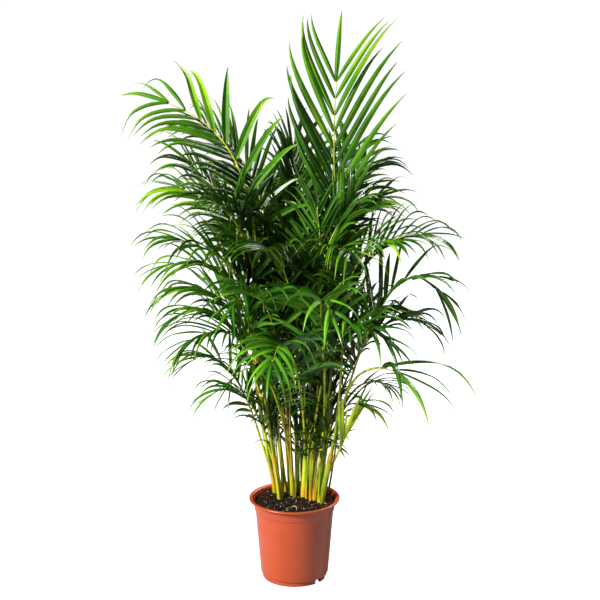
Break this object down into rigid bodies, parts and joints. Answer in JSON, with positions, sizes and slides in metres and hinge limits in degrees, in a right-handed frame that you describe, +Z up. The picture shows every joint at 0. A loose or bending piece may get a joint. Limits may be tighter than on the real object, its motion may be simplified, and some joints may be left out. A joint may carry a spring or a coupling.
{
  "type": "potted palm",
  "caption": "Clump-forming feather palm with arching fronds on thin yellow-green canes, growing in soil in a round plastic nursery pot that stands on its foot ring.",
  "frame": {"origin": "on the floor, under the middle of the pot", "axes": "+Z up, from the foot of the pot to the top frond; -Y towards the viewer of the picture, +X to the viewer's right"},
  "size_m": [0.8955, 0.8157, 1.4969],
  "materials": {
    "pot": "terracotta-coloured moulded plastic, satin",
    "soil": "moist dark peat mix with bark and perlite",
    "cane": "smooth yellow-green stem, waxy",
    "leaf": "glossy green leaf, pleated"
  },
  "bodies": {
    "root": {"pot": "pot", "soil": "soil", "cane_01": "cane", "cane_02": "cane", "cane_03": "cane", "cane_04": "cane", "cane_05": "cane", "cane_06": "cane", "cane_07": "cane", "cane_08": "cane", "cane_09": "cane", "cane_10": "cane", "cane_11": "cane", "cane_12": "cane", "cane_13": "cane", "cane_14": "cane", "frond_01": "leaf", "frond_02": "leaf", "frond_03": "leaf", "frond_04": "leaf", "frond_05": "leaf", "frond_06": "leaf", "frond_07": "leaf", "frond_08": "leaf", "frond_09": "leaf", "frond_10": "leaf", "frond_11": "leaf", "frond_12": "leaf", "frond_13": "leaf", "frond_14": "leaf", "frond_15": "leaf", "frond_16": "leaf", "frond_17": "leaf", "frond_18": "leaf", "frond_19": "leaf", "frond_20": "leaf", "frond_21": "leaf", "frond_22": "leaf", "frond_23": "leaf", "frond_24": "leaf", "frond_25": "leaf", "frond_26": "leaf", "frond_27": "leaf", "frond_28": "leaf", "frond_29": "leaf", "frond_30": "leaf", "frond_31": "leaf", "frond_32": "leaf", "frond_33": "leaf", "frond_34": "leaf", "frond_35": "leaf", "frond_36": "leaf", "frond_37": "leaf", "frond_38": "leaf", "frond_39": "leaf", "frond_40": "leaf", "frond_41": "leaf", "frond_42": "leaf", "frond_43": "leaf", "frond_44": "leaf"}
  },
  "joints": []
}
